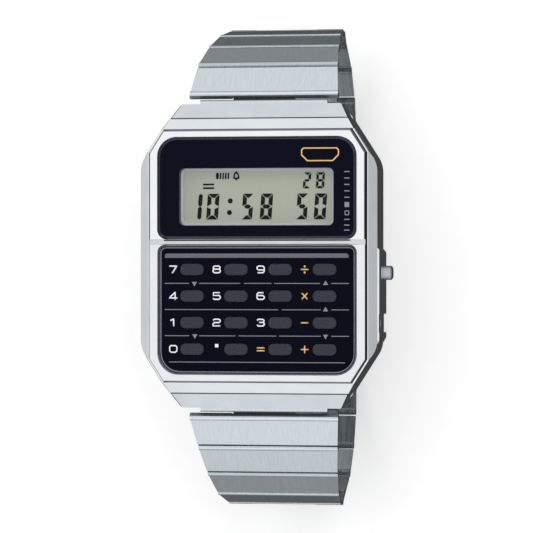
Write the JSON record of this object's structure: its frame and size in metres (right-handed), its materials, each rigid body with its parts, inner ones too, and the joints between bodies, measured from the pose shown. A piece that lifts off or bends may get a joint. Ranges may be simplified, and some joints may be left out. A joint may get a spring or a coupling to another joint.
{
  "type": "calculator watch",
  "caption": "Steel-band wristwatch with a digital display above a small calculator keypad, side buttons and a fold-over clasp.",
  "frame": {"origin": "middle of the back cover's outer face, which lies on the wrist", "axes": "+Z out of the watch's face, +Y to the display end (12 o'clock), +X to the two side buttons (3 o'clock)"},
  "size_m": [0.0358, 0.0706, 0.0466],
  "materials": {
    "bright_case": "bright chromed case with fine level facets",
    "brushed_back": "brushed steel sheet",
    "bright_steel": "polished steel",
    "band_steel": "steel sheet brushed along the band",
    "brass_disc": "plain brass",
    "black_rubber": "matte rubber",
    "grey_rubber": "matte silicone rubber",
    "dark_moulding": "moulded plastic",
    "green_board": "coated circuit board",
    "dark_glass": "glass printed dark on its back, clear over the display",
    "display_grey": "grey-green reflective display",
    "black_gloss": "glossy black plate",
    "key_grey": "matte dark grey keys"
  },
  "bodies": {
    "case": {"case_body": "bright_case", "window_frame": "bright_case", "display_glass": "dark_glass", "display_surround": "bright_steel", "display_panel": "display_grey", "key_plate": "black_gloss", "key_mat": "grey_rubber", "module_frame": "dark_moulding", "circuit_board": "green_board", "connector_strips": "grey_rubber", "battery": "bright_steel", "battery_clip": "bright_steel", "sounder_disc": "brass_disc", "back_cover": "brushed_back", "back_gasket": "black_rubber", "back_screws": "bright_steel", "end_piece_upper": "band_steel", "end_piece_lower": "band_steel"},
    "key_7": {"key_7": "key_grey"},
    "key_8": {"key_8": "key_grey"},
    "key_9": {"key_9": "key_grey"},
    "key_divide": {"key_divide": "key_grey"},
    "key_4": {"key_4": "key_grey"},
    "key_5": {"key_5": "key_grey"},
    "key_6": {"key_6": "key_grey"},
    "key_multiply": {"key_multiply": "key_grey"},
    "key_1": {"key_1": "key_grey"},
    "key_2": {"key_2": "key_grey"},
    "key_3": {"key_3": "key_grey"},
    "key_minus": {"key_minus": "key_grey"},
    "key_0": {"key_0": "key_grey"},
    "key_point": {"key_point": "key_grey"},
    "key_equals": {"key_equals": "key_grey"},
    "key_plus": {"key_plus": "key_grey"},
    "mode_button": {"mode_button": "bright_steel"},
    "adjust_button": {"adjust_button": "bright_steel"},
    "upper_link_01": {"upper_link_01": "band_steel"},
    "upper_link_02": {"upper_link_02": "band_steel"},
    "upper_link_03": {"upper_link_03": "band_steel"},
    "upper_link_04": {"upper_link_04": "band_steel"},
    "upper_link_05": {"upper_link_05": "band_steel"},
    "upper_link_06": {"upper_link_06": "band_steel"},
    "upper_link_07": {"upper_link_07": "band_steel"},
    "upper_link_08": {"upper_link_08": "band_steel"},
    "upper_link_09": {"upper_link_09": "band_steel"},
    "clasp_blade": {"clasp_blade": "band_steel"},
    "lower_link_01": {"lower_link_01": "band_steel"},
    "lower_link_02": {"lower_link_02": "band_steel"},
    "lower_link_03": {"lower_link_03": "band_steel"},
    "lower_link_04": {"lower_link_04": "band_steel"},
    "lower_link_05": {"lower_link_05": "band_steel"},
    "lower_link_06": {"lower_link_06": "band_steel"},
    "lower_link_07": {"lower_link_07": "band_steel"},
    "lower_link_08": {"lower_link_08": "band_steel"},
    "lower_link_09": {"lower_link_09": "band_steel"},
    "lower_link_10": {"lower_link_10": "band_steel"},
    "clasp_cover": {"clasp_cover": "band_steel"},
    "clasp_lock": {"clasp_lock": "band_steel"}
  },
  "joints": [
    {"name": "key_7_press", "type": "slide", "parent": "case", "child": "key_7", "axis": [0, 0, -1], "range_m": [0, 0.0003], "stiffness_N_per_m": 150, "springref_m": -0.0005},
    {"name": "key_8_press", "type": "slide", "parent": "case", "child": "key_8", "axis": [0, 0, -1], "range_m": [0, 0.0003], "stiffness_N_per_m": 150, "springref_m": -0.0005},
    {"name": "key_9_press", "type": "slide", "parent": "case", "child": "key_9", "axis": [0, 0, -1], "range_m": [0, 0.0003], "stiffness_N_per_m": 150, "springref_m": -0.0005},
    {"name": "key_divide_press", "type": "slide", "parent": "case", "child": "key_divide", "axis": [0, 0, -1], "range_m": [0, 0.0003], "stiffness_N_per_m": 150, "springref_m": -0.0005},
    {"name": "key_4_press", "type": "slide", "parent": "case", "child": "key_4", "axis": [0, 0, -1], "range_m": [0, 0.0003], "stiffness_N_per_m": 150, "springref_m": -0.0005},
    {"name": "key_5_press", "type": "slide", "parent": "case", "child": "key_5", "axis": [0, 0, -1], "range_m": [0, 0.0003], "stiffness_N_per_m": 150, "springref_m": -0.0005},
    {"name": "key_6_press", "type": "slide", "parent": "case", "child": "key_6", "axis": [0, 0, -1], "range_m": [0, 0.0003], "stiffness_N_per_m": 150, "springref_m": -0.0005},
    {"name": "key_multiply_press", "type": "slide", "parent": "case", "child": "key_multiply", "axis": [0, 0, -1], "range_m": [0, 0.0003], "stiffness_N_per_m": 150, "springref_m": -0.0005},
    {"name": "key_1_press", "type": "slide", "parent": "case", "child": "key_1", "axis": [0, 0, -1], "range_m": [0, 0.0003], "stiffness_N_per_m": 150, "springref_m": -0.0005},
    {"name": "key_2_press", "type": "slide", "parent": "case", "child": "key_2", "axis": [0, 0, -1], "range_m": [0, 0.0003], "stiffness_N_per_m": 150, "springref_m": -0.0005},
    {"name": "key_3_press", "type": "slide", "parent": "case", "child": "key_3", "axis": [0, 0, -1], "range_m": [0, 0.0003], "stiffness_N_per_m": 150, "springref_m": -0.0005},
    {"name": "key_minus_press", "type": "slide", "parent": "case", "child": "key_minus", "axis": [0, 0, -1], "range_m": [0, 0.0003], "stiffness_N_per_m": 150, "springref_m": -0.0005},
    {"name": "key_0_press", "type": "slide", "parent": "case", "child": "key_0", "axis": [0, 0, -1], "range_m": [0, 0.0003], "stiffness_N_per_m": 150, "springref_m": -0.0005},
    {"name": "key_point_press", "type": "slide", "parent": "case", "child": "key_point", "axis": [0, 0, -1], "range_m": [0, 0.0003], "stiffness_N_per_m": 150, "springref_m": -0.0005},
    {"name": "key_equals_press", "type": "slide", "parent": "case", "child": "key_equals", "axis": [0, 0, -1], "range_m": [0, 0.0003], "stiffness_N_per_m": 150, "springref_m": -0.0005},
    {"name": "key_plus_press", "type": "slide", "parent": "case", "child": "key_plus", "axis": [0, 0, -1], "range_m": [0, 0.0003], "stiffness_N_per_m": 150, "springref_m": -0.0005},
    {"name": "mode_button_press", "type": "slide", "parent": "case", "child": "mode_button", "axis": [-1, 0, 0], "range_m": [0, 0.0006], "stiffness_N_per_m": 300, "springref_m": -0.0005},
    {"name": "adjust_button_press", "type": "slide", "parent": "case", "child": "adjust_button", "axis": [-1, 0, 0], "range_m": [0, 0.0005], "stiffness_N_per_m": 300, "springref_m": -0.0005},
    {"name": "upper_link_01_fold", "type": "hinge", "parent": "case", "child": "upper_link_01", "pos_m": [0, 0.023, 0.002], "axis": [1, 0, 0], "range_deg": [0, 38]},
    {"name": "upper_link_02_fold", "type": "hinge", "parent": "upper_link_01", "child": "upper_link_02", "pos_m": [0, 0.02733, -0.00139], "axis": [1, 0, 0], "range_deg": [0, 22]},
    {"name": "upper_link_03_fold", "type": "hinge", "parent": "upper_link_02", "child": "upper_link_03", "pos_m": [0, 0.03008, -0.00615], "axis": [1, 0, 0], "range_deg": [0, 10]},
    {"name": "upper_link_04_fold", "type": "hinge", "parent": "upper_link_03", "child": "upper_link_04", "pos_m": [0, 0.03197, -0.01132], "axis": [1, 0, 0], "range_deg": [0, 9]},
    {"name": "upper_link_05_fold", "type": "hinge", "parent": "upper_link_04", "child": "upper_link_05", "pos_m": [0, 0.03301, -0.01672], "axis": [1, 0, 0], "range_deg": [0, 11]},
    {"name": "upper_link_06_fold", "type": "hinge", "parent": "upper_link_05", "child": "upper_link_06", "pos_m": [0, 0.03301, -0.02222], "axis": [1, 0, 0], "range_deg": [0, 16]},
    {"name": "upper_link_07_fold", "type": "hinge", "parent": "upper_link_06", "child": "upper_link_07", "pos_m": [0, 0.0315, -0.0275], "axis": [1, 0, 0], "range_deg": [0, 19]},
    {"name": "upper_link_08_fold", "type": "hinge", "parent": "upper_link_07", "child": "upper_link_08", "pos_m": [0, 0.02834, -0.03201], "axis": [1, 0, 0], "range_deg": [0, 20]},
    {"name": "upper_link_09_fold", "type": "hinge", "parent": "upper_link_08", "child": "upper_link_09", "pos_m": [0, 0.02384, -0.03516], "axis": [1, 0, 0], "range_deg": [0, 19]},
    {"name": "clasp_blade_fold", "type": "hinge", "parent": "upper_link_09", "child": "clasp_blade", "pos_m": [0, 0.01855, -0.03668], "axis": [1, 0, 0], "range_deg": [0, 16]},
    {"name": "lower_link_01_fold", "type": "hinge", "parent": "case", "child": "lower_link_01", "pos_m": [0, -0.023, 0.002], "axis": [-1, 0, 0], "range_deg": [0, 37]},
    {"name": "lower_link_02_fold", "type": "hinge", "parent": "lower_link_01", "child": "lower_link_02", "pos_m": [0, -0.02739, -0.00131], "axis": [-1, 0, 0], "range_deg": [0, 7]},
    {"name": "lower_link_03_fold", "type": "hinge", "parent": "lower_link_02", "child": "lower_link_03", "pos_m": [0, -0.03135, -0.00513], "axis": [-1, 0, 0], "range_deg": [0, 12]},
    {"name": "lower_link_04_fold", "type": "hinge", "parent": "lower_link_03", "child": "lower_link_04", "pos_m": [0, -0.03442, -0.00969], "axis": [-1, 0, 0], "range_deg": [0, 17]},
    {"name": "lower_link_05_fold", "type": "hinge", "parent": "lower_link_04", "child": "lower_link_05", "pos_m": [0, -0.03603, -0.01495], "axis": [-1, 0, 0], "range_deg": [0, 13]},
    {"name": "lower_link_06_fold", "type": "hinge", "parent": "lower_link_05", "child": "lower_link_06", "pos_m": [0, -0.03642, -0.02044], "axis": [-1, 0, 0], "range_deg": [0, 14]},
    {"name": "lower_link_07_fold", "type": "hinge", "parent": "lower_link_06", "child": "lower_link_07", "pos_m": [0, -0.03546, -0.02585], "axis": [-1, 0, 0], "range_deg": [0, 18]},
    {"name": "lower_link_08_fold", "type": "hinge", "parent": "lower_link_07", "child": "lower_link_08", "pos_m": [0, -0.03288, -0.03071], "axis": [-1, 0, 0], "range_deg": [0, 20]},
    {"name": "lower_link_09_fold", "type": "hinge", "parent": "lower_link_08", "child": "lower_link_09", "pos_m": [0, -0.02879, -0.03439], "axis": [-1, 0, 0], "range_deg": [0, 20]},
    {"name": "lower_link_10_fold", "type": "hinge", "parent": "lower_link_09", "child": "lower_link_10", "pos_m": [0, -0.02369, -0.03645], "axis": [-1, 0, 0], "range_deg": [0, 17]},
    {"name": "clasp_cover_open", "type": "hinge", "parent": "clasp_blade", "child": "clasp_cover", "pos_m": [0, -0.0158, -0.03668], "axis": [-1, 0, 0], "range_deg": [0, 105]},
    {"name": "clasp_lock_open", "type": "hinge", "parent": "clasp_cover", "child": "clasp_lock", "pos_m": [0, -0.0132, -0.03776], "axis": [-1, 0, 0], "range_deg": [0, 75]}
  ]
}
